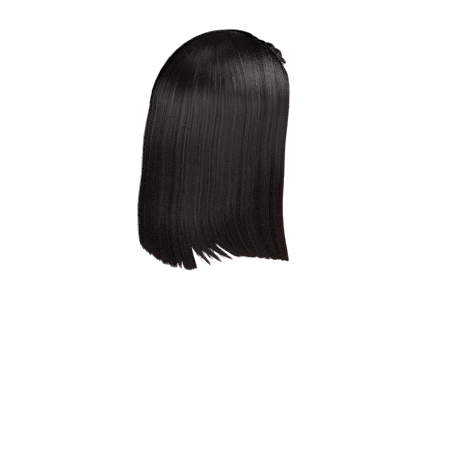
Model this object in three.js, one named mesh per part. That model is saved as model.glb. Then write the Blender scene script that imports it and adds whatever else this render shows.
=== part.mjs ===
// A straight, shoulder-length lace front wig, in the shape that it has on a head.
// A sheer lace panel runs from ear to ear behind the hairline and is sewn to a stretch net cap.
// Hair is tied to the lace on both sides of a parting, and hangs from the crown and the nape of the net.
// Millimetres, +Z up. The wearer faces -Y, so the wearer's right is -X.
// The origin is the inside of the cap at the crown, where the head carries it.
import * as THREE from "three";

// The head that the cap fits: an ellipsoid round its widest level, with its top at the origin
const HEAD = { halfWidth: 76, halfLength: 95, rise: 92, centreY: 0 };
const WIDEST_LEVEL = -HEAD.rise;

// The cap's cloth and its seam
const LACE_WALL = 1.0;
const NET_WALL = 1.2;
const SEAM_TURN = 92;
const SEAM_HALF_GAP = 0.15;
const CAP_SIDE_REACH = 76;
const CAP_COLUMNS = 28;
const LACE_ROWS = 9;
const NET_ROWS = 14;

// The cap's free edges, by how far round to the side they are: 0 is the middle of the head, 90 the ear hole.
// An edge is given as a turn over the head in degrees: 0 is level with the face, 90 the crown, 180 the back.
const CAP_EDGES = [
  { side: 0, hairline: 27, nape: 214 },
  { side: 16, hairline: 25, nape: 213 },
  { side: 32, hairline: 24, nape: 211 },
  { side: 44, hairline: 18, nape: 207 },
  { side: 54, hairline: 6, nape: 203 },
  { side: 63, hairline: -16, nape: 202 },
  { side: 70, hairline: -36, nape: 206 },
  { side: 76, hairline: -46, nape: 212 },
];

// The combed hair over the head, outside and inside. The inside lies on the cap with a small gap.
// A roundness of 2 is an ellipsoid, and a lower one has flatter sides.
const SEAT_GAP = 0.65;
const HAIR_DOME = { halfWidth: 90, halfLength: 104, rise: 99.5, centreY: 0, roundness: 1.9 };
const HAIR_SEAT = {
  halfWidth: HEAD.halfWidth + NET_WALL + SEAT_GAP,
  halfLength: HEAD.halfLength + NET_WALL + SEAT_GAP,
  rise: HEAD.rise + NET_WALL + SEAT_GAP,
  centreY: HEAD.centreY,
  roundness: 2,
};

// The parting, in plan, from the hairline to the crown. Its two lips lie half a gap to each side.
const PARTING_FRONT = new THREE.Vector2(-25, -87);
const PARTING_CROWN = new THREE.Vector2(-8, 20);
const PARTING_HALF_GAP = 1.2;
const WHORL_RADIUS = 2.5;

// Where the hair hangs, in degrees round the head from the face by the wearer's right.
const HAIR_FRONT_EDGE = 64;
const CROWN_RIGHT = 115;
const CROWN_LEFT = 360 - CROWN_RIGHT;
const HAIR_LAST_EDGE = 360 - HAIR_FRONT_EDGE;
const PANEL_HALF_GAP = 0.22;

// Level sections of the hanging hair, outside and inside, by the drop below the head's widest level
const HANG_OUTSIDE = [
  { drop: 0, halfWidth: 90, halfLength: 104, centreY: 1.8 },
  { drop: 18, halfWidth: 91, halfLength: 105.8, centreY: 4.8 },
  { drop: 36, halfWidth: 92, halfLength: 107.8, centreY: 7.1 },
  { drop: 58, halfWidth: 93, halfLength: 110, centreY: 7.8 },
  { drop: 90, halfWidth: 94.1, halfLength: 112.2, centreY: 8.6 },
  { drop: 128, halfWidth: 95, halfLength: 114, centreY: 13 },
  { drop: 170, halfWidth: 95, halfLength: 114, centreY: 13 },
  { drop: 215, halfWidth: 94, halfLength: 112, centreY: 10 },
];
const HANG_INSIDE = [
  { drop: 0, halfWidth: 77.85, halfLength: 96.85, centreY: 0 },
  { drop: 18, halfWidth: 79, halfLength: 97.6, centreY: 1.6 },
  { drop: 58, halfWidth: 83, halfLength: 100.5, centreY: 6 },
  { drop: 128, halfWidth: 87.5, halfLength: 106.5, centreY: 13 },
  { drop: 170, halfWidth: 89.5, halfLength: 108.5, centreY: 13 },
  { drop: 215, halfWidth: 91, halfLength: 109, centreY: 10 },
];

// The hair leans back as it leaves the head, and the lean starts on the dome, just above its rim
const RIM_LEAN = HANG_OUTSIDE[0].centreY;
const RIM_LEAN_POWER = 20;

// How far the front edges of the hair swing back, in degrees. The swing fades out soon behind them.
const HANG_SWING = [
  { drop: 0, turn: 0 },
  { drop: 18, turn: 0.8 },
  { drop: 58, turn: 5.5 },
  { drop: 128, turn: 6.5 },
  { drop: 170, turn: 3.5 },
  { drop: 215, turn: -5 },
];

// How far the ends of the hair sweep forward round the head, in degrees. The hair above falls straight.
const END_SWEEP = [
  { around: 64, turn: 0 },
  { around: 85, turn: 7 },
  { around: 110, turn: 13 },
  { around: 130, turn: 11 },
  { around: 150, turn: 6 },
  { around: 165, turn: 4 },
  { around: 210, turn: 2 },
  { around: 235, turn: 0 },
  { around: 265, turn: -7 },
  { around: 296, turn: 0 },
];
const SWEEP_START = 0.6;

// How far the ends of the hair reach below the head's widest level, round the head
const ENDS = [
  { around: 64, drop: 212 },
  { around: 90, drop: 197 },
  { around: 112, drop: 189.5 },
  { around: 130, drop: 196 },
  { around: 150, drop: 204 },
  { around: 165, drop: 202 },
  { around: 180, drop: 193.5 },
  { around: 200, drop: 187 },
  { around: 225, drop: 184 },
  { around: 250, drop: 191 },
  { around: 270, drop: 200 },
  { around: 296, drop: 212 },
];

// Locks: ridges along the hair that end in points
const FRONT_LOCKS = 5;
const CROWN_LOCKS = 13;
const LOCK_STEPS = 4;
const LOCK_DEPTH_ON_HEAD = 0.7;
const LOCK_DEPTH_AT_ENDS = 1.6;
const LOCK_POINT = 8;
const LOCK_LENGTHS = [0, 3, -2, 4, -3];

// The hair thins out towards the face and dips where it is parted
const FRONT_THIN_SHARE = 0.35;
const FRONT_THIN_REACH = 22;
const FRONT_LIFT_REACH = 0.7;
const PARTING_DIP_SHARE = { front: 0.25, crown: 0.95 };
const PARTING_DIP_REACH = 0.22;

// The front hair follows the hairline. On the left it stands up beside the parting: in tufts at the front,
// and in a low swell between them and the crown.
const HAIRLINE_BULGE = { right: 7, left: 22 };
const PARTING_LIFT = [
  { along: 0, lift: 17.5 },
  { along: 0.14, lift: 14.5 },
  { along: 0.3, lift: 5 },
  { along: 0.45, lift: 4.5 },
  { along: 0.6, lift: 3 },
  { along: 0.75, lift: 0.5 },
  { along: 0.9, lift: 0 },
  { along: 1, lift: 0 },
];
const TUFT_UPRIGHT = 0.4;
const TUFT_COUNT = 5;
const TUFT_HOLLOW_SHARE = 0.8;
const TUFT_REACH_ALONG = 0.45;
const TUFT_REACH_DOWN = 0.05;

// Rows of each wall from the roots to the ends: shares of the way over the head, then of the drop
const ROWS_OVER_HEAD = [0, 0.04, 0.1, 0.18, 0.27, 0.36, 0.46, 0.56, 0.67, 0.78, 0.89, 1];
const ROWS_HANGING = [0.12, 0.26, 0.4, 0.54, 0.68, 0.8, 0.91, 1];

// The under layer at the nape, as level sections
const NAPE_FROM = 118;
const NAPE_TO = 242;
const NAPE_HANG = [
  { drop: 22, halfWidth: 78.2, halfLength: 97.2, centreY: 0, wall: 2 },
  { drop: 60, halfWidth: 81, halfLength: 99, centreY: 5, wall: 3 },
  { drop: 128, halfWidth: 86.4, halfLength: 105.4, centreY: 13, wall: 3.2 },
  { drop: 170, halfWidth: 88.4, halfLength: 107.4, centreY: 13, wall: 3 },
  { drop: 215, halfWidth: 89.8, halfLength: 107.8, centreY: 10, wall: 2 },
];
const NAPE_SHORTER = 7;
const NAPE_LOCKS = 7;
const NAPE_ROWS = 9;

const radians = THREE.MathUtils.degToRad;
const lerp = THREE.MathUtils.lerp;
const smoothstep = THREE.MathUtils.smoothstep;

// A smooth function through one column of a table, read by another column
function column(table, key, name) {
  const curve = new THREE.CubicInterpolant(
    table.map((row) => row[key]),
    table.map((row) => row[name]),
    1,
  );
  return (at) => curve.evaluate(at)[0];
}

// A function that gives the level section of a table at any drop, drawn in by an inset
function sections(table) {
  const [halfWidth, halfLength, centreY] = ["halfWidth", "halfLength", "centreY"].map((name) =>
    column(table, "drop", name),
  );
  return (drop, inset = 0) => ({
    halfWidth: halfWidth(drop) - inset,
    halfLength: halfLength(drop) - inset,
    centreY: centreY(drop),
  });
}

const hairlineTurn = column(CAP_EDGES, "side", "hairline");
const napeTurn = column(CAP_EDGES, "side", "nape");
const endsDrop = column(ENDS, "around", "drop");
const endSweep = column(END_SWEEP, "around", "turn");
const swing = column(HANG_SWING, "drop", "turn");
const partingLift = column(PARTING_LIFT, "along", "lift");
const outside = sections(HANG_OUTSIDE);
const inside = sections(HANG_INSIDE);
const nape = sections(NAPE_HANG);
const napeWall = column(NAPE_HANG, "drop", "wall");

// A closed wall between an outer and an inner grid of points, with columns across and rows along
function wall(columns, rows, outer, inner) {
  const points = [];
  const faces = [];
  const index = (side, i, j) => (side * (columns + 1) + i) * (rows + 1) + j;
  const quad = (a, b, c, d) => faces.push(a, b, c, a, c, d);
  for (const grid of [outer, inner]) {
    for (let i = 0; i <= columns; i++) {
      for (let j = 0; j <= rows; j++) points.push(...grid(i, j).toArray());
    }
  }
  for (let i = 0; i < columns; i++) {
    for (let j = 0; j < rows; j++) {
      quad(index(0, i, j), index(0, i + 1, j), index(0, i + 1, j + 1), index(0, i, j + 1));
      quad(index(1, i, j), index(1, i, j + 1), index(1, i + 1, j + 1), index(1, i + 1, j));
    }
    quad(index(0, i, 0), index(1, i, 0), index(1, i + 1, 0), index(0, i + 1, 0));
    quad(index(0, i, rows), index(0, i + 1, rows), index(1, i + 1, rows), index(1, i, rows));
  }
  for (let j = 0; j < rows; j++) {
    quad(index(0, 0, j), index(0, 0, j + 1), index(1, 0, j + 1), index(1, 0, j));
    quad(index(0, columns, j), index(1, columns, j), index(1, columns, j + 1), index(0, columns, j + 1));
  }
  const geometry = new THREE.BufferGeometry();
  geometry.setAttribute("position", new THREE.Float32BufferAttribute(points, 3));
  geometry.setIndex(faces);
  geometry.computeVertexNormals();
  return geometry;
}

// The cap: a point on the head, so far round to the side and so far over it, lifted off it by the cloth
function capPoint(side, turn, lift) {
  const ring = Math.cos(radians(side));
  return new THREE.Vector3(
    (HEAD.halfWidth + lift) * Math.sin(radians(side)),
    -(HEAD.halfLength + lift) * ring * Math.cos(radians(turn)),
    WIDEST_LEVEL + (HEAD.rise + lift) * ring * Math.sin(radians(turn)),
  );
}

// A strip of the cap from ear to ear between two edges, each a function of how far round to the side it is
function capStrip(columns, rows, thickness, firstTurn, lastTurn) {
  const at = (i, j, lift) => {
    const side = lerp(-CAP_SIDE_REACH, CAP_SIDE_REACH, i / columns);
    return capPoint(side, lerp(firstTurn(Math.abs(side)), lastTurn(Math.abs(side)), j / rows), lift);
  };
  return wall(columns, rows, (i, j) => at(i, j, thickness), (i, j) => at(i, j, 0));
}

// The seam gap is a fixed width, so it takes a wider turn where the cap is narrow
const seamTurn = (way) => (side) =>
  SEAM_TURN + way * THREE.MathUtils.radToDeg(SEAM_HALF_GAP / (HEAD.rise * Math.cos(radians(side))));

function laceFront() {
  return capStrip(CAP_COLUMNS, LACE_ROWS, LACE_WALL, hairlineTurn, seamTurn(-1));
}

function netCap() {
  return capStrip(CAP_COLUMNS, NET_ROWS, NET_WALL, seamTurn(1), napeTurn);
}

// Where the hair at a place round the head is rooted, in plan: along a lip of the parting or round the crown
const partingWay = PARTING_CROWN.clone().sub(PARTING_FRONT).normalize();
const partingRight = new THREE.Vector2(-partingWay.y, partingWay.x);

function rootInPlan(around) {
  const share = alongParting(around);
  if (share < 1) {
    const toSide = around < CROWN_RIGHT ? 1 : -1;
    const halfGap = lerp(PARTING_HALF_GAP, WHORL_RADIUS, share);
    return PARTING_FRONT.clone().lerp(PARTING_CROWN, share).addScaledVector(partingRight, toSide * halfGap);
  }
  const fan = Math.PI * THREE.MathUtils.inverseLerp(CROWN_RIGHT, CROWN_LEFT, around);
  return PARTING_CROWN.clone()
    .addScaledVector(partingRight, WHORL_RADIUS * Math.cos(fan))
    .addScaledVector(partingWay, WHORL_RADIUS * Math.sin(fan));
}

// 0 at the hairline end of the parting and 1 at the crown
function alongParting(around) {
  const fromEdge = Math.min(around - HAIR_FRONT_EDGE, HAIR_LAST_EDGE - around);
  return Math.min(1, fromEdge / (CROWN_RIGHT - HAIR_FRONT_EDGE));
}

// A point over a dome, above a place in plan
function onDome(dome, x, y) {
  const out = Math.min(1, Math.hypot(x / dome.halfWidth, (y - dome.centreY) / dome.halfLength));
  const height = dome.rise * (1 - out ** dome.roundness) ** (1 / dome.roundness);
  return new THREE.Vector3(x, y, WIDEST_LEVEL + height);
}

// The place on the seat under a point of the hair's dome
function underDome(point) {
  return onDome(
    HAIR_SEAT,
    (point.x * HAIR_SEAT.halfWidth) / HAIR_DOME.halfWidth,
    HAIR_SEAT.centreY + ((point.y - HAIR_DOME.centreY) * HAIR_SEAT.halfLength) / HAIR_DOME.halfLength,
  );
}

// A level place round the head on an ellipse, where angles run from the face by the wearer's right
function onSection(around, section, drop) {
  const angle = radians(around);
  return new THREE.Vector3(
    -section.halfWidth * Math.sin(angle),
    section.centreY - section.halfLength * Math.cos(angle),
    WIDEST_LEVEL - drop,
  );
}

// The two faces of the hair on its way over the head, a share of the way from its root
function overHead(around, share) {
  const root = rootInPlan(around);
  const rim = onSection(around, HAIR_DOME, 0);
  const way = Math.sin((share * Math.PI) / 2);
  const left = around > 180;
  const frontness = (1 - alongParting(around)) ** 2;
  const bulge = frontness * (left ? HAIRLINE_BULGE.left : HAIRLINE_BULGE.right) * Math.sin(Math.PI * way);
  const outer = onDome(HAIR_DOME, lerp(root.x, rim.x, way), lerp(root.y, rim.y, way) - bulge * (1 - way));
  const inner = underDome(outer);
  outer.y += RIM_LEAN * way ** RIM_LEAN_POWER;
  return { outer, inner };
}

// The tufts stand up beside the front of the parting, on the left, and sink back down the head
function tuftLift(around, share) {
  if (around < CROWN_LEFT) return 0;
  const along = alongParting(around);
  const inTufts = Math.min(1, along / TUFT_REACH_ALONG);
  const bump = Math.abs(Math.cos(Math.PI * TUFT_COUNT * inTufts));
  const down = share / TUFT_REACH_DOWN;
  return partingLift(along) * lerp(TUFT_HOLLOW_SHARE, 1, bump) * down * Math.exp(1 - down);
}

// The two faces of the hanging hair, a share of its drop below the widest level
function hanging(around, length, fall) {
  const drop = length * fall;
  const fromBack = (around - 180) / (180 - HAIR_FRONT_EDGE);
  const sweep = endSweep(around) * (Math.max(0, fall - SWEEP_START) / (1 - SWEEP_START)) ** 2;
  const turned = around - sweep - fromBack ** 3 * swing(drop);
  return { outer: onSection(turned, outside(drop), drop), inner: onSection(turned, inside(drop), drop) };
}

// A panel of hair: locks side by side on one backing, from the roots to the ends
function hairPanel(from, to, locks) {
  const columns = locks * LOCK_STEPS;
  const rows = ROWS_OVER_HEAD.length + ROWS_HANGING.length - 1;
  const faces = (i, j) => {
    const around = lerp(from, to, i / columns);
    const lock = Math.min(locks - 1, Math.floor(i / LOCK_STEPS));
    const offMiddle = Math.abs((i / LOCK_STEPS - lock) * 2 - 1);
    const onHead = j < ROWS_OVER_HEAD.length;
    const share = onHead ? ROWS_OVER_HEAD[j] : 1;
    const fall = onHead ? 0 : ROWS_HANGING[j - ROWS_OVER_HEAD.length];
    const longer = LOCK_LENGTHS[lock % LOCK_LENGTHS.length] * (1 - offMiddle);
    const length = endsDrop(around - endSweep(around)) + longer - LOCK_POINT * offMiddle ** 2;
    const { outer, inner } = onHead ? overHead(around, share) : hanging(around, length, fall);
    const groove = offMiddle ** 2 * lerp(LOCK_DEPTH_ON_HEAD * share, LOCK_DEPTH_AT_ENDS, fall);
    return thinned(around, share, outer, inner, tuftLift(around, share), groove);
  };
  return wall(columns, rows, (i, j) => faces(i, j).outer, (i, j) => faces(i, j).inner);
}

// Thins the hair at its front edge and at the parting, then sinks the grooves and raises the tufts outside
function thinned(around, share, outer, inner, tuft, groove) {
  const fromEdge = Math.min(around - HAIR_FRONT_EDGE, HAIR_LAST_EDGE - around);
  const body = lerp(FRONT_THIN_SHARE, 1, smoothstep(fromEdge, 0, FRONT_THIN_REACH));
  const dipShare = lerp(PARTING_DIP_SHARE.front, PARTING_DIP_SHARE.crown, alongParting(around));
  const atParting = lerp(dipShare, 1, smoothstep(share, 0, PARTING_DIP_REACH));
  const lift = (1 - body) * smoothstep(share, 0, FRONT_LIFT_REACH);
  const across = outer.clone().sub(inner);
  const outward = across.clone().normalize();
  const low = inner.clone().addScaledVector(across, lift);
  const high = low.clone().addScaledVector(across, body * atParting).addScaledVector(outward, -groove);
  outward.z += TUFT_UPRIGHT;
  return { outer: high.addScaledVector(outward.normalize(), tuft), inner: low };
}

// The under layer: a curtain of locks that starts on the nape of the net
function napeWeft() {
  const columns = NAPE_LOCKS * LOCK_STEPS;
  const top = NAPE_HANG[0].drop;
  const at = (i, j, inset) => {
    const around = lerp(NAPE_FROM, NAPE_TO, i / columns);
    const lock = Math.floor(i / LOCK_STEPS);
    const offMiddle = Math.abs((i / LOCK_STEPS - lock) * 2 - 1);
    const end = endsDrop(around) - NAPE_SHORTER - LOCK_POINT * offMiddle ** 2;
    const drop = lerp(top, end, j / NAPE_ROWS);
    return onSection(around, nape(drop, inset * napeWall(drop)), drop);
  };
  return wall(columns, NAPE_ROWS, (i, j) => at(i, j, 0), (i, j) => at(i, j, 1));
}

const lace = new THREE.MeshStandardMaterial({ color: 0x8a6a52, roughness: 0.9, metalness: 0 });
const net = new THREE.MeshStandardMaterial({ color: 0x1d1a19, roughness: 0.85, metalness: 0 });
const hair = new THREE.MeshStandardMaterial({ color: 0x1e1b19, roughness: 0.38, metalness: 0 });
const underHair = new THREE.MeshStandardMaterial({ color: 0x2a1d18, roughness: 0.45, metalness: 0 });

const wig = new THREE.Group();

function add(name, geometry, material) {
  const mesh = new THREE.Mesh(geometry, material);
  mesh.name = name;
  wig.add(mesh);
}

add("lace_front", laceFront(), lace);
add("net_cap", netCap(), net);
add("front_hair_right", hairPanel(HAIR_FRONT_EDGE, CROWN_RIGHT - PANEL_HALF_GAP, FRONT_LOCKS), hair);
add("crown_hair", hairPanel(CROWN_RIGHT + PANEL_HALF_GAP, CROWN_LEFT - PANEL_HALF_GAP, CROWN_LOCKS), hair);
add("front_hair_left", hairPanel(CROWN_LEFT + PANEL_HALF_GAP, HAIR_LAST_EDGE, FRONT_LOCKS), hair);
add("nape_weft", napeWeft(), underHair);

export default wig;
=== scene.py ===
import math

import bmesh
import bpy
import numpy as np
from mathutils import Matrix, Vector


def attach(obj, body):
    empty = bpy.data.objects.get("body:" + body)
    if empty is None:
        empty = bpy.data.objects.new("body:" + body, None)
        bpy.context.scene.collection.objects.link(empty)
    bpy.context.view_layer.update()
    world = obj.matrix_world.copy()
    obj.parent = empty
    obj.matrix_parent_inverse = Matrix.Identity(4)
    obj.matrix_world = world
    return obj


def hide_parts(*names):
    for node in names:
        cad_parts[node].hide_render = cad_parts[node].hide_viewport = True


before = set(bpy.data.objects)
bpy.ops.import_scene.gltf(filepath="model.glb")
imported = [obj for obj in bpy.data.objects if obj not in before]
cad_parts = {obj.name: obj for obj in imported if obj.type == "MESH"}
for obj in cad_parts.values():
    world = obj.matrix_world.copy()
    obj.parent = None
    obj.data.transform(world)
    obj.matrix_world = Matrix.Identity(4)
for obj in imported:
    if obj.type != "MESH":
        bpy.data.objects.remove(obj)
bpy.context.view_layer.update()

# The camera
# It looks at the back and the wearer's right side of the wig from a little above, with a long lens.
# Here and below, sizes are in millimetres and turns in degrees, and MM makes metres of them.
MM = 0.001
CAMERA_AIM = Vector((-3.0, -3.3, -262.3)) * MM
CAMERA_AZIMUTH, CAMERA_ELEVATION = 228, 12
CAMERA_DISTANCE = 2000 * MM
CAMERA_LENS, CAMERA_SENSOR = 115.5, 36.0


def direction(azimuth, elevation):
    """The way from the wig to a place so far round it and so far up."""
    turn, up = math.radians(azimuth), math.radians(elevation)
    return Vector((math.sin(turn) * math.cos(up), -math.cos(turn) * math.cos(up), math.sin(up)))


toward_camera = direction(CAMERA_AZIMUTH, CAMERA_ELEVATION)
camera = bpy.data.objects.new("camera", bpy.data.cameras.new("camera"))
camera.data.lens, camera.data.sensor_width = CAMERA_LENS, CAMERA_SENSOR
camera.location = CAMERA_AIM + CAMERA_DISTANCE * toward_camera
camera.rotation_euler = toward_camera.to_track_quat("Z", "Y").to_euler()
bpy.context.collection.objects.link(camera)
bpy.context.scene.camera = camera


# The net cap
# A cap of black stretch net, cut like half a swimming cap, covers the crown, the back and the nape.
# Rows of machine wefts are sewn across it from side to side, and its edges are turned and stitched.
# The inside of the cap is an ellipsoid, and its cloth is measured flat by about the mean of its radii
CAP_HALF_WIDTH, CAP_HALF_LENGTH, CAP_RISE = 76, 95, 92
CAP_MEAN_RADIUS = 85
WIDEST_LEVEL = -CAP_RISE
NET_WALL = 1.2
# The seam to the lace is so far over the cap from the front, and the cloth reaches so far round each side
SEAM_TURN = 92
SEAM_HALF_GAP = 0.15
CAP_SIDE_REACH = 76
# How far round to the side, then the turns over the cap of the hairline and of the nape edge
CAP_EDGES = (
    (0, 27, 214),
    (16, 25, 213),
    (32, 24, 211),
    (44, 18, 207),
    (54, 6, 203),
    (63, -16, 202),
    (70, -36, 206),
    (76, -46, 212),
)


def column(table, place):
    """Reads one column of a table smoothly by its first column."""
    at = np.array([row[0] for row in table], float)
    value = np.array([row[place] for row in table], float)
    slope = np.gradient(value, at)

    def read(x):
        x = np.clip(x, at[0], at[-1])
        k = np.clip(np.searchsorted(at, x) - 1, 0, len(at) - 2)
        span = at[k + 1] - at[k]
        t = (x - at[k]) / span
        rise = value[k + 1] - value[k]
        bend = (slope[k] * span - rise) * (1 - t) + (rise - slope[k + 1] * span) * t
        return value[k] + rise * t + t * (1 - t) * bend

    return read


hairline_turn, nape_turn = column(CAP_EDGES, 1), column(CAP_EDGES, 2)


def seam_turn(way, side):
    """The turn at which a strip of the cap ends beside the seam across the crown."""
    return SEAM_TURN + way * math.degrees(SEAM_HALF_GAP / (CAP_RISE * math.cos(math.radians(side))))


def cap_strip(name, columns, rows, wall, first_turn, last_turn):
    """A strip of cap cloth from side to side between two edges, with a UV map in millimetres."""
    cloth = bmesh.new()
    uv = cloth.loops.layers.uv.new("cloth_mm")
    bmesh.ops.create_grid(cloth, x_segments=columns, y_segments=rows, size=0.5)
    flat = {}
    for vert in cloth.verts:
        side = 2 * CAP_SIDE_REACH * vert.co.x
        first, last = first_turn(abs(side)), last_turn(abs(side))
        turn = first + (last - first) * (vert.co.y + 0.5)
        ring = math.cos(math.radians(side))
        flat[vert] = (
            CAP_MEAN_RADIUS * math.radians(side),
            CAP_RISE * ring * math.radians(turn - SEAM_TURN),
        )
        vert.co = MM * Vector((
            CAP_HALF_WIDTH * math.sin(math.radians(side)),
            -CAP_HALF_LENGTH * ring * math.cos(math.radians(turn)),
            WIDEST_LEVEL + CAP_RISE * ring * math.sin(math.radians(turn)),
        ))
    for face in cloth.faces:
        face.smooth = True
        for loop in face.loops:
            loop[uv].uv = flat[loop.vert]
    mesh = bpy.data.meshes.new(name)
    cloth.to_mesh(mesh)
    cloth.free()
    piece = bpy.data.objects.new(name, mesh)
    bpy.context.collection.objects.link(piece)
    thickness = piece.modifiers.new("wall", "SOLIDIFY")
    thickness.thickness, thickness.offset = wall * MM, 1.0
    return piece


def linear(hex_colour):
    """An sRGB hex colour as linear red, green, blue and alpha."""
    srgb = [int(hex_colour[k:k + 2], 16) / 255 for k in (1, 3, 5)]
    return [c / 12.92 if c <= 0.04045 else ((c + 0.055) / 1.055) ** 2.4 for c in srgb] + [1.0]


def add_node(tree, kind, inputs=None, **settings):
    """Adds a node with its settings, and sets or links its inputs."""
    node = tree.nodes.new(kind)
    for name, value in settings.items():
        setattr(node, name, value)
    for name, value in (inputs or {}).items():
        if isinstance(value, bpy.types.NodeSocket):
            tree.links.new(value, node.inputs[name])
        else:
            node.inputs[name].default_value = value
    return node


def new_material(name):
    """A material with an empty node tree, and its output."""
    material = bpy.data.materials.new(name)
    material.use_nodes = True
    material.node_tree.nodes.clear()
    return material, material.node_tree, material.node_tree.nodes.new("ShaderNodeOutputMaterial")


# Nylon power net, knitted: black and matt, with the weft rows raised under it. Its fine holes are not cut
# but painted dark, as painted shade seen through them.
# A wave texture repeats every pi / (10 * scale).
NET_PITCH_MM = 2.0
WEFT_SPACING_MM = 14.0
NET_RELIEF_MM = 0.4
net_material, tree, output = new_material("black_nylon_power_net")
cloth_mm = add_node(tree, "ShaderNodeUVMap", uv_map="cloth_mm")
net_cells = add_node(tree, "ShaderNodeTexVoronoi", {
    "Vector": cloth_mm.outputs["UV"], "Scale": 1 / NET_PITCH_MM, "Randomness": 0.25,
}, feature="DISTANCE_TO_EDGE", voronoi_dimensions="2D")
weft_rows = add_node(tree, "ShaderNodeTexWave", {
    "Vector": cloth_mm.outputs["UV"], "Scale": math.pi / (10 * WEFT_SPACING_MM), "Distortion": 0.0,
}, bands_direction="Y")
weft_band = add_node(tree, "ShaderNodeMapRange", {
    "Value": weft_rows.outputs["Fac"], "From Min": 0.8, "From Max": 0.95,
})
thread = add_node(tree, "ShaderNodeMapRange", {
    "Value": net_cells.outputs["Distance"],
    "From Min": 0.12, "From Max": 0.3, "To Min": 1.0, "To Max": 0.0,
})
# Painted shade: the holes are coloured darker than the thread
net_colour = add_node(tree, "ShaderNodeMix", {
    "Factor": thread.outputs["Result"], "A": linear("#0d0c0c"), "B": linear("#2b2726"),
}, data_type="RGBA")
net_height = add_node(tree, "ShaderNodeMath", {
    0: thread.outputs["Result"], 1: weft_band.outputs["Result"],
}, operation="ADD")
net_bump = add_node(tree, "ShaderNodeBump", {
    "Height": net_height.outputs["Value"], "Strength": 0.8, "Distance": NET_RELIEF_MM * MM,
})
net_shader = add_node(tree, "ShaderNodeBsdfPrincipled", {
    "Base Color": net_colour.outputs["Result"], "Normal": net_bump.outputs["Normal"],
    "Roughness": 0.8, "IOR": 1.53,
})
tree.links.new(net_shader.outputs["BSDF"], output.inputs["Surface"])

net_cap = cap_strip(
    "stretch_net_cap",
    columns=60,
    rows=40,
    wall=NET_WALL,
    first_turn=lambda side: seam_turn(1, side),
    last_turn=lambda side: float(nape_turn(side)),
)
net_cap.data.materials.append(net_material)
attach(net_cap, "root")
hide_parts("net_cap")


# The lace front
# A panel of sheer brown lace runs from side to side behind the hairline, sewn to the net across the crown.
# Its front edge is bare, and a tab reaches down at each side.
LACE_WALL = 1.0

# Hair lace: a honeycomb of fine nylon thread, drawn coarser than its 0.8 mm so that the holes show.
# Three waves at 60 degrees to each other add up to round holes, and the thread is what lies between them.
LACE_PITCH_MM = 1.6
LACE_PATCH_MM = 9
lace_material, tree, output = new_material("brown_nylon_hair_lace")
cloth_mm = add_node(tree, "ShaderNodeUVMap", uv_map="cloth_mm")
honeycomb = 0.0
for turn in (0, 60, 120):
    wave_way = Vector((math.cos(math.radians(turn)), math.sin(math.radians(turn)), 0))
    run = add_node(tree, "ShaderNodeVectorMath", {
        0: cloth_mm.outputs["UV"], 1: wave_way * 2 * math.pi / LACE_PITCH_MM,
    }, operation="DOT_PRODUCT")
    wave = add_node(tree, "ShaderNodeMath", {0: run.outputs["Value"]}, operation="COSINE")
    waves = add_node(tree, "ShaderNodeMath", {0: honeycomb, 1: wave.outputs["Value"]}, operation="ADD")
    honeycomb = waves.outputs["Value"]
thread = add_node(tree, "ShaderNodeMapRange", {
    "Value": honeycomb, "From Min": -0.6, "From Max": 0.4, "To Min": 1.0, "To Max": 0.12,
})
lace_tone = add_node(tree, "ShaderNodeTexNoise", {
    "Vector": cloth_mm.outputs["UV"], "Scale": 1 / LACE_PATCH_MM,
})
lace_colour = add_node(tree, "ShaderNodeMix", {
    "Factor": lace_tone.outputs["Fac"], "A": linear("#6d5140"), "B": linear("#9a7a60"),
}, data_type="RGBA")
lace_shader = add_node(tree, "ShaderNodeBsdfPrincipled", {
    "Base Color": lace_colour.outputs["Result"], "Alpha": thread.outputs["Result"],
    "Roughness": 0.7, "IOR": 1.53,
})
tree.links.new(lace_shader.outputs["BSDF"], output.inputs["Surface"])

lace_front = cap_strip(
    "hair_lace_front",
    columns=60,
    rows=30,
    wall=LACE_WALL,
    first_turn=lambda side: float(hairline_turn(side)),
    last_turn=lambda side: seam_turn(-1, side),
)
lace_front.data.materials.append(lace_material)
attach(lace_front, "root")
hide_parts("lace_front")


# The nape weft
# The under layer of hair is sewn on a weft round the nape and hangs inside the outer curtain.
# Its ends are a little shorter and show between the points of the outer locks. They are painted browner,
# as painted light shining through them.
NAPE_STRANDS = 2600
# Places are turns round the cap, from the front by the wearer's right
NAPE_FROM, NAPE_TO = 118, 242
# How much shorter the weft is than the outer curtain: everywhere, at the edges of its locks and by chance
NAPE_SHORTER, NAPE_LOCK_POINT, NAPE_RAGGED = 7, 6, 10
NAPE_LOCK_DRAW = 0.25
# Behind the pointed locks the weft is shorter still, so that light shows between the points
NAPE_NOTCH = 14
NOTCH_FROM, NOTCH_TO = (104, 116), (142, 150)
# Drop below the cap's widest level, half width, half length, centre along Y and thickness
NAPE_HANG = (
    (22, 78.2, 97.2, 0, 2),
    (60, 81, 99, 5, 3),
    (128, 86.4, 105.4, 13, 3.2),
    (170, 88.4, 107.4, 13, 3),
    (215, 89.8, 107.8, 10, 2),
)
NAPE_TOP = NAPE_HANG[0][0]
# Place, and how far the ends there reach down below the cap's widest level
ENDS = (
    (64, 212),
    (90, 197),
    (112, 189.5),
    (130, 196),
    (150, 204),
    (165, 202),
    (180, 193.5),
    (200, 187),
    (225, 184),
    (250, 191),
    (270, 200),
    (296, 212),
)
# Place, and how far the ends there sweep forward round the cap
END_SWEEP = (
    (64, 0),
    (85, 7),
    (110, 13),
    (130, 11),
    (150, 6),
    (165, 4),
    (210, 2),
    (235, 0),
    (265, -7),
    (296, 0),
)
# Share of the way down at which the sweep starts, and the mean width of a lock
SWEEP_START = 0.6
LOCK_WIDTH = 8
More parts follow.
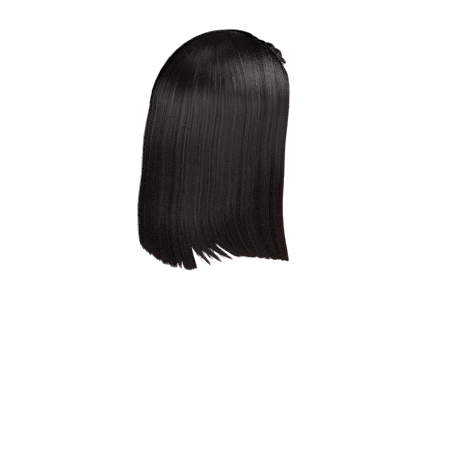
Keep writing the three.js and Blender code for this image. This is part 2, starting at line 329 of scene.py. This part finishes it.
# A strand is drawn wider than a hair, so that fewer strands cover the cap.
# It is narrower at its root and tapers to a fine end, and its shading is evened out along it.
STRAND_WIDTH = 0.9
STRAND_STEPS = 27
STRAND_TAPER_AT, STRAND_TAPER = (0, 0.1, 0.86, 1), (0.6, 1, 1, 0.1)
STRAND_FAN = math.radians(25)
SHADE_SMOOTHING = 2
ends_drop, end_sweep = column(ENDS, 1), column(END_SWEEP, 1)


def smoothstep(x, low, high):
    """0 below low, 1 above high and a smooth rise between them."""
    t = np.clip((x - low) / (high - low), 0, 1)
    return t * t * (3 - 2 * t)


def sweep_share(hang):
    """How much of its sweep a strand has made, from 0 where it leaves the cap to 1 at its end."""
    return np.clip((hang - SWEEP_START) / (1 - SWEEP_START), 0, 1) ** 2


def sections(table):
    """A function that gives a point of a table's level section, at a place round the cap and a drop."""
    half_width, half_length, centre_y = (column(table, k) for k in (1, 2, 3))

    def point(around, drop, inset=0):
        angle = np.radians(around)
        return np.stack(np.broadcast_arrays(
            -(half_width(drop) - inset) * np.sin(angle),
            centre_y(drop) - (half_length(drop) - inset) * np.cos(angle),
            WIDEST_LEVEL - drop,
        ), axis=-1)

    return point


def uneven_locks(rng, first, last):
    """The edges of locks of uneven width between two places round the cap."""
    widths = rng.uniform(0.4, 1.6, round((last - first) / LOCK_WIDTH))
    return first + (last - first) * np.concatenate([[0], np.cumsum(widths) / widths.sum()])


def side_by_side(rng, count, edges):
    """Spreads strands over locks. Gives each one's place, lock, the lock's middle and the share off it."""
    around = edges[0] + (edges[-1] - edges[0]) * (np.arange(count) + rng.random(count)) / count
    lock = np.clip(np.searchsorted(edges, around) - 1, 0, len(edges) - 2)
    middle, half = (edges[lock] + edges[lock + 1]) / 2, (edges[lock + 1] - edges[lock]) / 2
    return around, lock, middle, (around - middle) / half


def unit(vectors):
    """Vectors of length 1 the same way."""
    return vectors / np.maximum(np.linalg.norm(vectors, axis=-1, keepdims=True), 1e-9)


# Black-brown human hair, pressed straight. Light shining through its fine ends and edges is painted into
# their colour as a brown glow.
# A strand with a smooth cuticle shines more than a worn one, so the strands are dull, pressed or sleek.
HAIR_GLOSS = (("dull", 0.34), ("pressed", 0.52), ("sleek", 0.78))
GLOSS_SHARES = (0.35, 0.4, 0.25)
hair_materials = []
for finish, specular in HAIR_GLOSS:
    hair_material, tree, output = new_material(finish + "_black_brown_hair")
    strand_uv = add_node(tree, "ShaderNodeUVMap", uv_map="strand")
    strand_place = add_node(tree, "ShaderNodeSeparateXYZ", {"Vector": strand_uv.outputs["UV"]})
    painted_glow_through = add_node(tree, "ShaderNodeAttribute", attribute_name="painted_glow_through")
    strand_colour = add_node(tree, "ShaderNodeMix", {
        "Factor": strand_place.outputs["X"], "A": linear("#080706"), "B": linear("#1c1512"),
    }, data_type="RGBA")
    # Painted light: a brown glow stands in for light shining through fine ends and edges
    painted_glow_colour = add_node(tree, "ShaderNodeMix", {
        "Factor": painted_glow_through.outputs["Fac"], "A": strand_colour.outputs["Result"], "B": linear("#4a2a20"),
    }, data_type="RGBA")
    hair_shader = add_node(tree, "ShaderNodeBsdfPrincipled", {
        "Base Color": painted_glow_colour.outputs["Result"],
        "Roughness": 0.24, "IOR": 1.55, "Specular IOR Level": specular,
    })
    tree.links.new(hair_shader.outputs["BSDF"], output.inputs["Surface"])
    hair_materials.append(hair_material)


def strand_piece(name, paths, outward, tone, painted_glow, gloss, roll, tilt):
    """Joins flat strands into one piece. Each follows its path and is shaded as if it were round."""
    count, steps = paths.shape[:2]
    along = np.linspace(0, 1, steps)
    run = unit(np.gradient(paths, axis=1))
    for _ in range(SHADE_SMOOTHING):
        run[:, 1:-1] = unit(run[:, :-2] + 2 * run[:, 1:-1] + run[:, 2:])
    across = unit(np.cross(run, outward))
    facing = np.cross(across, run)
    cos, sin = np.cos(roll)[:, None, None], np.sin(roll)[:, None, None]
    across, facing = across * cos + facing * sin, facing * cos - across * sin
    width = STRAND_WIDTH * np.interp(along, STRAND_TAPER_AT, STRAND_TAPER)
    half = across * width[None, :, None] / 2
    points = np.stack([paths - half, paths + half], axis=2)
    leaning = unit(facing + run * tilt[:, None, None]) * math.cos(STRAND_FAN)
    fanned = across * math.sin(STRAND_FAN)
    normals = np.stack([leaning - fanned, leaning + fanned], axis=2)
    first = (np.arange(count)[:, None] * steps + np.arange(steps - 1)) * 2
    faces = np.stack([first, first + 1, first + 3, first + 2], axis=-1).reshape(-1, 4)
    mesh = bpy.data.meshes.new(name)
    mesh.from_pydata((points.reshape(-1, 3) * MM).tolist(), [], faces.tolist())
    mesh.polygons.foreach_set("use_smooth", np.ones(len(faces), bool))
    for material in hair_materials:
        mesh.materials.append(material)
    mesh.polygons.foreach_set("material_index", np.repeat(gloss, steps - 1).astype(np.int32))
    both_edges = np.zeros((count, steps, 2))
    uv = np.stack([tone[:, None, None] + both_edges, along[None, :, None] + both_edges], axis=-1)
    strand_uv = mesh.uv_layers.new(name="strand")
    strand_uv.data.foreach_set("uv", uv.reshape(-1, 2)[faces.ravel()].ravel().astype(np.float32))
    # Where light shining through fine hair is painted in as a brown glow
    painted_glow_through = mesh.attributes.new("painted_glow_through", "FLOAT", "POINT")
    painted_glow_through.data.foreach_set("value", np.repeat(painted_glow.reshape(-1), 2).astype(np.float32))
    mesh.normals_split_custom_set_from_vertices(unit(normals).reshape(-1, 3).tolist())
    piece = bpy.data.objects.new(name, mesh)
    bpy.context.collection.objects.link(piece)
    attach(piece, "root")
    return piece


rng = np.random.default_rng(11)
nape_point, nape_wall = sections(NAPE_HANG), column(NAPE_HANG, 4)
around, _, middle, off = side_by_side(rng, NAPE_STRANDS, uneven_locks(rng, NAPE_FROM, NAPE_TO))
end_place = around - end_sweep(around)
behind_points = smoothstep(end_place, *NOTCH_FROM) * (1 - smoothstep(end_place, *NOTCH_TO))
end = ends_drop(end_place) - NAPE_SHORTER - NAPE_NOTCH * behind_points - NAPE_LOCK_POINT * off ** 2
end = end - rng.exponential(NAPE_RAGGED, NAPE_STRANDS)
way = np.linspace(0, 1, STRAND_STEPS)
drop = NAPE_TOP + (end[:, None] - NAPE_TOP) * way
place = around[:, None] - (around - end_place)[:, None] * sweep_share(way)
place = place - NAPE_LOCK_DRAW * (around - middle)[:, None] * smoothstep(way, 0.7, 1)
sway = rng.normal(0, 0.5, (NAPE_STRANDS, 1))
place = place + sway * np.sin(3 * way + rng.uniform(0, 6, (NAPE_STRANDS, 1))) * way
depth = rng.random((NAPE_STRANDS, 1)) * nape_wall(drop)
# Painted light: the nape ends glow brown, as light shining through them
nape_ends_glow = 0.6 * smoothstep(way, 0.75, 1) + np.zeros((NAPE_STRANDS, 1))
nape_weft = strand_piece(
    "nape_weft_strands",
    nape_point(place, drop, depth),
    nape_point(place, drop) - nape_point(place, drop, 1),
    tone=rng.uniform(0.3, 1, NAPE_STRANDS),
    painted_glow=nape_ends_glow,
    gloss=rng.choice(3, NAPE_STRANDS, p=GLOSS_SHARES),
    roll=rng.normal(0, 0.3, NAPE_STRANDS),
    tilt=rng.normal(0, 0.1, NAPE_STRANDS),
)
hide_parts("nape_weft")


# The crown hair
# Hair is sewn in rows all over the crown and the back of the cap, and combed down from a whorl.
# It hangs as one smooth curtain, whose strands draw together into locks with pointed ends.
PANEL_STRANDS = 3800
PANEL_OVERLAP = 1.5
CROWN_WISP_WIDTH = 0.65
# Half width, half length, rise and roundness of the hair's dome, outside and where it lies on the cap
SEAT_GAP = 0.65
SEAT_LIFT = NET_WALL + SEAT_GAP
HAIR_DOME = (90, 104, 99.5, 1.9)
HAIR_SEAT = (CAP_HALF_WIDTH + SEAT_LIFT, CAP_HALF_LENGTH + SEAT_LIFT, CAP_RISE + SEAT_LIFT, 2.0)
# The parting in plan, from the hairline to the crown, and the places round the cap where the panels meet
PARTING_FRONT, PARTING_CROWN = np.array([-25.0, -87.0]), np.array([-8.0, 20.0])
PARTING_HALF_GAP, WHORL_RADIUS = 0.5, 1.5
HAIR_FRONT_EDGE, HAIR_LAST_EDGE = 64, 296
CROWN_RIGHT, BACK, CROWN_LEFT = 115, 180, 245
# Drop below the cap's widest level, half width, half length and centre along Y, outside and then inside
HANG_OUTSIDE = (
    (0, 90, 104, 1.8),
    (18, 91, 105.8, 4.8),
    (36, 92, 107.8, 7.1),
    (58, 93, 110, 7.8),
    (90, 94.1, 112.2, 8.6),
    (128, 95, 114, 13),
    (170, 95, 114, 13),
    (215, 94, 112, 10),
)
HANG_INSIDE = (
    (0, 77.85, 96.85, 0),
    (18, 79, 97.6, 1.6),
    (58, 83, 100.5, 6),
    (128, 87.5, 106.5, 13),
    (170, 89.5, 108.5, 13),
    (215, 91, 109, 10),
)
# The hair leans back as it leaves the cap, and the lean starts on the dome, just above its rim
RIM_LEAN, RIM_LEAN_POWER = HANG_OUTSIDE[0][3], 20
# Drop, and how far the front edges of the hair swing back there
HANG_SWING = ((0, 0), (18, 0.8), (58, 5.5), (128, 6.5), (170, 3.5), (215, -5))
# The hair thins out towards its front edges, dips where it is parted and bulges forward at the hairline
FRONT_THIN_SHARE, FRONT_THIN_REACH, FRONT_LIFT_REACH = 0.35, 22, 0.7
PARTING_DIP_FRONT, PARTING_DIP_CROWN, PARTING_DIP_REACH = 0.25, 0.95, 0.22
HAIRLINE_BULGE_RIGHT, HAIRLINE_BULGE_LEFT = 7, 22
# Share of the way along the parting from its front, and how high the hair on the left stands up beside it
PARTING_LIFT = ((0, 17.5), (0.14, 14.5), (0.3, 5), (0.45, 4.5), (0.6, 3), (0.75, 0.5), (0.9, 0), (1, 0))
# The tufts there: how upright, how many, how high the hollows between them are and how far they reach
TUFT_UPRIGHT, TUFT_COUNT, TUFT_HOLLOW_SHARE = 0.4, 5, 0.8
TUFT_REACH_ALONG, TUFT_REACH_DOWN = 0.45, 0.05
TUFT_FRONT_SHARE, TUFT_FRONT_REACH = 0.88, 3
# Tufts higher than the first of these turn to the parting and up, and fully so at the second
TUFT_TURN_FROM, TUFT_TURN_TO = 4.5, 10
TUFT_TURN, TUFT_TURN_UP = 1.6, 0.5
# Place of a lock's first edge, how much longer its middle is than its edges, how much longer the lock is
# than its neighbours, and how far its tip flicks forward
CROWN_RIGHT_LOCKS = (
    (113.5, 1, 0, 3),
    (121, 1, 0, 7),
    (128, 3, 0, 10),
    (133.5, 10, 3, 11.5),
    (138.5, 15, 4, 10.5),
    (143, 15, 3, 7),
    (146.8, 10, -14, 3),
    (147.8, 0.5, 1.5, 0),
    (156.5, 7, 0, 0),
    (161, 2, 0, 0),
    (169, 1, 0, 0),
    (175, 1, 0, 0),
    (181.5, 0, 0, 0),
)
# A lock whose middle is this much longer than its edges is drawn to a full point
FULL_POINT = 12
# Most strands start at the parting and lie on top, and the others start further down and lie deeper.
# A root is a share of the way over the cap. A depth is 0 at the outside of the hair and 1 at its inside.
TOP_SHARE, TOP_LAST_ROOT, LAST_ROOT = 0.6, 0.04, 0.85
TOP_DEPTH, TOP_ROOT_DEPTH, UNDER_ROOT_DEPTH, DEPTH_REACH = 0.15, 0.02, 0.8, 0.25
FRONT_FILL_REACH = 8
# How far strands draw to the middle of their wisp or lock, and where on the hang they draw in and flick
WISP_DRAW, TOP_LOCK_DRAW, UNDER_LOCK_DRAW = 0.3, 0.7, 0.5
DRAW_START, FLICK_START, TIP_SHARE = 0.78, 0.85, 1.02
# Shares of the strands that stay out of their lock's point, and that stray from the curtain
LOOSE_SHARE, STRAY_SHARE = 0.1, 0.01
# How deep the grooves between locks are over the cap and at the ends, and how ragged the ends are
GROOVE_ON_CAP, GROOVE_HANGING = 0.2, 0.4
END_RAGGED, POINT_RAGGED = 2.2, 3
# How strongly light shining through fine hair is painted in as a brown glow, at tips, at the tips of
# points, on the front edges and near them, and how far
TIP_GLOW, POINT_GLOW, TIP_REACH = 0.3, 0.5, 0.92
EDGE_GLOW, EDGE_REACH, FRONT_GLOW, FRONT_REACH = 0.7, 6, 0.35, 35
# The mean tone, from the darkest hair to the lightest, and the share of strands unlike their wisp in gloss
MEAN_TONE, OWN_GLOSS_SHARE = 0.45, 0.45
STEPS_ON_CAP = 13

outside, inside, swing = sections(HANG_OUTSIDE), sections(HANG_INSIDE), column(HANG_SWING, 1)
parting_lift = column(PARTING_LIFT, 1)
parting_way = (PARTING_CROWN - PARTING_FRONT) / np.linalg.norm(PARTING_CROWN - PARTING_FRONT)
parting_right = np.array([-parting_way[1], parting_way[0]])


def from_edge(around):
    """How far round the cap a place is from the nearer front edge of the hair."""
    return np.minimum(around - HAIR_FRONT_EDGE, HAIR_LAST_EDGE - around)


def along_parting(around):
    """0 at the hairline end of the parting and 1 at the crown."""
    return np.clip(from_edge(around) / (CROWN_RIGHT - HAIR_FRONT_EDGE), 0, 1)


def root_in_plan(around):
    """Where the outermost hair at a place is rooted: along a lip of the parting or round the whorl."""
    share = along_parting(around)[..., None]
    half_gap = PARTING_HALF_GAP + (WHORL_RADIUS - PARTING_HALF_GAP) * share
    to_side = np.where(around < BACK, 1, -1)[..., None]
    lip = PARTING_FRONT + (PARTING_CROWN - PARTING_FRONT) * share + parting_right * half_gap * to_side
    fan = np.pi * (around[..., None] - CROWN_RIGHT) / (CROWN_LEFT - CROWN_RIGHT)
    whorl = PARTING_CROWN + WHORL_RADIUS * (parting_right * np.cos(fan) + parting_way * np.sin(fan))
    return np.where(share < 1, lip, whorl)


def on_dome(dome, x, y):
    """A point over a dome, above a place in plan."""
    half_width, half_length, rise, roundness = dome
    out = np.minimum(1, np.hypot(x / half_width, y / half_length))
    return np.stack([x, y, WIDEST_LEVEL + rise * (1 - out ** roundness) ** (1 / roundness)], axis=-1)


def hair_faces(around, share, drop):
    """The hair's outside, its inside and the way out, a share of the way over the cap or at a drop."""
    root = root_in_plan(around)
    rim = outside(around, 0)[..., :2] - np.array([0, RIM_LEAN])
    way = np.sin(share * np.pi / 2)
    bulge = np.where(around < BACK, HAIRLINE_BULGE_RIGHT, HAIRLINE_BULGE_LEFT)
    bulge = bulge * (1 - along_parting(around)) ** 2 * np.sin(np.pi * way) * (1 - way)
    plan = root + (rim - root) * way[..., None]
    x, y = plan[..., 0], plan[..., 1] - bulge
    over = on_dome(HAIR_DOME, x, y)
    over[..., 1] += RIM_LEAN * way ** RIM_LEAN_POWER
    under = on_dome(HAIR_SEAT, x * HAIR_SEAT[0] / HAIR_DOME[0], y * HAIR_SEAT[1] / HAIR_DOME[1])
    turned = around - ((around - BACK) / (BACK - HAIR_FRONT_EDGE)) ** 3 * swing(drop)
    hanging = (drop > 0)[..., None]
    outer = np.where(hanging, outside(turned, drop), over)
    inner = np.where(hanging, inside(turned, drop), under)
    body = FRONT_THIN_SHARE + (1 - FRONT_THIN_SHARE) * smoothstep(from_edge(around), 0, FRONT_THIN_REACH)
    lift = (1 - body) * smoothstep(share, 0, FRONT_LIFT_REACH)
    dip_share = PARTING_DIP_FRONT + (PARTING_DIP_CROWN - PARTING_DIP_FRONT) * along_parting(around)
    dip = dip_share + (1 - dip_share) * smoothstep(share, 0, PARTING_DIP_REACH)
    across = outer - inner
    low = inner + across * lift[..., None]
    high = low + across * (body * dip)[..., None]
    return high, low, unit(across)


def tuft_lift(around, share):
    """How high the tufts stand up on the left, beside the front of the parting, before they sink back."""
    along = along_parting(around)
    bump = np.abs(np.cos(np.pi * TUFT_COUNT * np.minimum(1, along / TUFT_REACH_ALONG)))
    hollow = TUFT_HOLLOW_SHARE + (1 - TUFT_HOLLOW_SHARE) * bump
    at_front = smoothstep(from_edge(around), 0, TUFT_FRONT_REACH)
    eased = TUFT_FRONT_SHARE + (1 - TUFT_FRONT_SHARE) * at_front
    down = share / TUFT_REACH_DOWN
    height = parting_lift(along) * hollow * eased
    return np.where(around > CROWN_LEFT, height * down * np.exp(1 - down), 0)


def tuft_turn(around, share):
    """How far the strands of the tufts turn to face the parting."""
    near_root = 1 - smoothstep(share, 0.3 * TUFT_REACH_DOWN, 1.5 * TUFT_REACH_DOWN)
    high = smoothstep(parting_lift(along_parting(around)), TUFT_TURN_FROM, TUFT_TURN_TO)
    return TUFT_TURN * near_root * high * (around > CROWN_LEFT)


def wisp_finish(rng, wisp, wisp_count):
    """The tone, fading, gloss, roll and tilt of each strand, which are alike within a wisp."""
    count = len(wisp)
    wisp_roll = rng.normal(0, 0.1, wisp_count)[wisp]
    wisp_tilt = rng.normal(0, 0.025, wisp_count)[wisp]
    wisp_gloss = rng.choice(3, wisp_count, p=GLOSS_SHARES)[wisp]
    strand_gloss = rng.choice(3, count, p=GLOSS_SHARES)
    gloss = np.where(rng.random(count) < OWN_GLOSS_SHARE, strand_gloss, wisp_gloss)
    wisp_tone = rng.normal(0, 0.12, wisp_count)[wisp]
    tone = np.clip(MEAN_TONE + wisp_tone + rng.normal(0, 0.3, count), 0, 1)
    fading = rng.uniform(0.4, 1, (count, 1))
    roll = wisp_roll + rng.normal(0, 0.11, count)
    tilt = wisp_tilt + rng.normal(0, 0.025, count)
    return tone, fading, gloss, roll, tilt


def hair_panel(name, seed, first, last, wisp_width, chart=None):
    """A panel of hair tied or sewn to the cap: strands in layers, drawn into wisps and locks."""
    count = PANEL_STRANDS
    rng = np.random.default_rng(seed)

    # Locks and wisps
    if chart:
        edges, point, longer, flick = np.array(chart).T
    else:
        edges = uneven_locks(rng, first, last)
        point, flick = np.ones(len(edges)), np.zeros(len(edges))
        longer = rng.uniform(-0.5, 0.5, len(edges))
    around, lock, middle, off = side_by_side(rng, count, edges)
    point, longer, flick = point[lock], longer[lock], flick[lock]
    pointed = np.minimum(1, point / FULL_POINT)
    wisp_count = round((last - first) / wisp_width)
    wisp = np.clip(((around - first) / (last - first) * wisp_count).astype(int), 0, wisp_count - 1)
    wisp_middle = first + (last - first) * (wisp + 0.5) / wisp_count

    # Roots and depths
    on_top = rng.random(count) < TOP_SHARE
    top_root = TOP_LAST_ROOT * rng.random(count)
    root = np.where(on_top, top_root, rng.uniform(TOP_LAST_ROOT, LAST_ROOT, count))[:, None]
    under_depth = np.clip(root[:, 0] + rng.uniform(-0.1, 0.2, count), TOP_DEPTH, 1)
    depth = np.where(on_top, TOP_DEPTH * rng.random(count) ** 2, under_depth)
    front_fill = rng.random(count) ** 3 * (1 - smoothstep(from_edge(around), 0, FRONT_FILL_REACH))
    depth = (depth + (1 - depth) * front_fill)[:, None]
    root_depth = np.where(on_top, TOP_ROOT_DEPTH, UNDER_ROOT_DEPTH)[:, None]

    # Ends. A strand at the edge of a pointed lock is shorter, and its lock's reach sets how it hangs.
    end_place = around - end_sweep(around)
    shorter = point * np.where(on_top, np.abs(off) ** 2, rng.uniform(0.7, 1.5, count))
    longer = longer + rng.normal(0, 0.5 + 0.5 * pointed, count) + rng.normal(0, 0.3, wisp_count)[wisp]
    reach = ends_drop(end_place - flick) + longer
    end = (reach - shorter - rng.exponential(END_RAGGED + POINT_RAGGED * pointed, count))[:, None]

    # The way over the cap and down, in steps that are closer at the root, at the rim and at the end
    over = 1 - (1 - np.linspace(0, 1, STEPS_ON_CAP) ** 1.6) ** 1.35
    fall = 1 - (1 - np.linspace(0, 1, STRAND_STEPS - STEPS_ON_CAP + 1)[1:]) ** 1.6
    share = np.concatenate([root + (1 - root) * over, np.ones((count, len(fall)))], axis=1)
    drop = np.concatenate([np.zeros((count, STEPS_ON_CAP)), end * fall], axis=1)
    way = np.linspace(0, 1, STRAND_STEPS)
    hang = drop / reach[:, None]

    # Places round the cap: strands sweep, gather in wisps and points, flick and sway, and a few stay loose
    loose_rng = np.random.default_rng(seed + 1)
    loose = (loose_rng.random(count) < LOOSE_SHARE) & (pointed > 0.5)
    flick = flick * np.where(loose, loose_rng.uniform(0.2, 1, count), 1)
    lock_draw = np.where(on_top, TOP_LOCK_DRAW, UNDER_LOCK_DRAW) * pointed
    draw = np.where(loose, 0, lock_draw) * (middle - around)
    place = around[:, None] - (around - end_place)[:, None] * sweep_share(hang)
    place = place + WISP_DRAW * (wisp_middle - around)[:, None] * smoothstep(way, 0.1, 0.9)
    place = place + draw[:, None] * smoothstep(hang, DRAW_START, TIP_SHARE)
    place = place - flick[:, None] * smoothstep(hang, FLICK_START, TIP_SHARE)
    sway = rng.normal(0, 0.35, (count, 1))
    waves = rng.uniform(2, 7, (count, 1)) * way
    place = place + sway * np.sin(waves + rng.uniform(0, 6, (count, 1))) * way
    place = np.clip(place, HAIR_FRONT_EDGE, HAIR_LAST_EDGE)

    # Paths: at their depth in the hair, lifted in the tufts, sunk between locks, and a few stray out
    outer, inner, outward = hair_faces(place, share, drop)
    level = root_depth + (depth - root_depth) * smoothstep(share, root, root + DEPTH_REACH)
    upright = unit(outward + np.array([0, 0, TUFT_UPRIGHT]))
    groove = off[:, None] ** 2 * (GROOVE_ON_CAP * share + GROOVE_HANGING * hang)
    stray = np.where(rng.random(count) < STRAY_SHARE, rng.uniform(0.5, 2, count), 0)
    paths = outer + (inner - outer) * level[..., None]
    paths = paths + upright * (tuft_lift(place, share) * (1 - level))[..., None]
    paths = paths - outward * (groove * (1 - level))[..., None]
    paths = paths + outward * (stray[:, None] * smoothstep(way, 0.1, 0.6))[..., None]

    # The finish: tips and front edges are fine, and light shining through them is painted in as a brown
    # glow
    tone, fading, gloss, roll, tilt = wisp_finish(rng, wisp, wisp_count)
    at_tip = (TIP_GLOW + POINT_GLOW * pointed)[:, None] * smoothstep(drop / end, TIP_REACH, 1)
    at_edge = EDGE_GLOW * smoothstep(-from_edge(place), -EDGE_REACH, 0)
    at_edge = at_edge + FRONT_GLOW * smoothstep(-from_edge(place), -FRONT_REACH, 0) * hang
    painted_glow = np.maximum(at_tip, at_edge * smoothstep(share, 0.5, 1)) * fading
    outward = outward + tuft_turn(place, share)[..., None] * np.append(parting_right, TUFT_TURN_UP)
    piece = strand_piece(name, paths, outward, tone, painted_glow, gloss, roll, tilt)
    return piece


crown_hair_right = hair_panel(
    "crown_hair_right_strands",
    seed=21,
    first=CROWN_RIGHT - PANEL_OVERLAP,
    last=BACK + PANEL_OVERLAP,
    wisp_width=CROWN_WISP_WIDTH,
    chart=CROWN_RIGHT_LOCKS,
)
crown_hair_left = hair_panel(
    "crown_hair_left_strands",
    seed=22,
    first=BACK - PANEL_OVERLAP,
    last=CROWN_LEFT + PANEL_OVERLAP,
    wisp_width=CROWN_WISP_WIDTH,
)
for crown_hair in (crown_hair_right, crown_hair_left):
    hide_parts("crown_hair")


# The front hair on the left
# Hair is knotted strand by strand into the lace on the far side of the parting.
# It stands up in tufts beside the front of the parting and falls over to the left.
FRONT_WISP_WIDTH = 0.5
front_hair_left = hair_panel(
    "front_hair_left_strands",
    seed=31,
    first=CROWN_LEFT - PANEL_OVERLAP,
    last=HAIR_LAST_EDGE,
    wisp_width=FRONT_WISP_WIDTH,
)
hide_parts("front_hair_left")


# The front hair on the right
# Hair is knotted into the lace on the near side of the parting and combed flat down the side.
# It swings back in the middle of its length and sweeps forward at its ends.
front_hair_right = hair_panel(
    "front_hair_right_strands",
    seed=41,
    first=HAIR_FRONT_EDGE,
    last=CROWN_RIGHT + PANEL_OVERLAP,
    wisp_width=FRONT_WISP_WIDTH,
)
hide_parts("front_hair_right")


# The studio
# A pale floor fills the view, and soft boxes stand round the wig and overhead.
# The backdrop is white to the camera and lights the hair only faintly, so that the boxes shape its sheen.
FLOOR_LEVEL = -440
FLOOR_HALF_WIDTH = 20000
scene = bpy.context.scene
scene.view_settings.view_transform = "Standard"
scene.cycles.use_denoising = False
world = bpy.data.worlds.new("studio")
world.use_nodes = True
sky = world.node_tree.nodes["Background"]
sky.inputs["Color"].default_value = linear("#ffffff")
light_path = add_node(world.node_tree, "ShaderNodeLightPath")
sky_strength = add_node(world.node_tree, "ShaderNodeMapRange", {
    "Value": light_path.outputs["Is Camera Ray"], "To Min": 0.05, "To Max": 1.0,
})
world.node_tree.links.new(sky_strength.outputs["Result"], sky.inputs["Strength"])
scene.world = world

floor_mesh = bpy.data.meshes.new("floor")
plane = bmesh.new()
bmesh.ops.create_grid(plane, x_segments=1, y_segments=1, size=FLOOR_HALF_WIDTH * MM)
bmesh.ops.translate(plane, verts=plane.verts, vec=(0, 0, FLOOR_LEVEL * MM))
plane.to_mesh(floor_mesh)
plane.free()
floor = bpy.data.objects.new("floor", floor_mesh)
bpy.context.collection.objects.link(floor)
# White seamless paper, lit so brightly that it burns out and shows no edge and no shade
floor_material, tree, output = new_material("white_seamless_paper")
floor_shader = add_node(tree, "ShaderNodeBsdfPrincipled", {
    "Base Color": linear("#f3f3f3"), "Roughness": 0.9,
    "Emission Color": linear("#ffffff"), "Emission Strength": 1.1,
})
tree.links.new(floor_shader.outputs["BSDF"], output.inputs["Surface"])
floor_material.cycles.emission_sampling = "NONE"
floor_mesh.materials.append(floor_material)
floor.visible_glossy = False

# Soft boxes, with lengths in metres: degrees to the right of the camera, degrees up, width, height, watts
SOFT_BOX_DISTANCE = 1.6
SOFT_BOXES = (
    ("high", 48, 54, 1.0, 0.75, 2.2),
    ("key", 84, 37, 1.9, 0.4, 8.6),
    ("front_right", 116, 20, 1.2, 0.7, 4.7),
    ("camera_high", 12, 27, 0.7, 0.75, 1.4),
    ("camera_left", -24, 24, 1.2, 0.4, 1.9),
    ("camera_left_low", -30, 14, 1.0, 0.25, 0.5),
    ("camera_side", 24, 11, 1.7, 0.4, 1.85),
    ("camera_right", 50, 12, 1.0, 0.25, 0.5),
    ("low", -12, -9.3, 2.3, 0.085, 1.05),
    ("low_right", 24, -2, 1.2, 0.4, 0.65),
    ("low_left", -60, -5, 1.4, 0.15, 0.45),
    ("left", -72, 15, 1.2, 0.25, 1.5),
    ("left_back", -97, 16, 1.2, 0.4, 0.75),
    ("back_left", -122, 9, 1.2, 0.4, 0.85),
    ("right", 93, 3, 1.1, 0.7, 1.3),
    ("front", 165, 6, 1.1, 0.7, 2.5),
    ("top_left", -93, 71, 0.55, 0.8, 1.05),
    ("top", 0, 63, 0.55, 0.4, 0.65),
)
MIDDLE_OF_WIG = Vector((0, 0, -140)) * MM
for name, right, up, width, height, watts in SOFT_BOXES:
    toward = direction(CAMERA_AZIMUTH + right, up)
    lamp = bpy.data.lights.new(name, "AREA")
    lamp.shape, lamp.size, lamp.size_y, lamp.energy = "RECTANGLE", width, height, watts
    lamp.color = linear("#fff6f2")[:3]
    soft_box = bpy.data.objects.new(name, lamp)
    soft_box.location = MIDDLE_OF_WIG + SOFT_BOX_DISTANCE * toward
    soft_box.rotation_euler = toward.to_track_quat("Z", "Y").to_euler()
    bpy.context.collection.objects.link(soft_box)
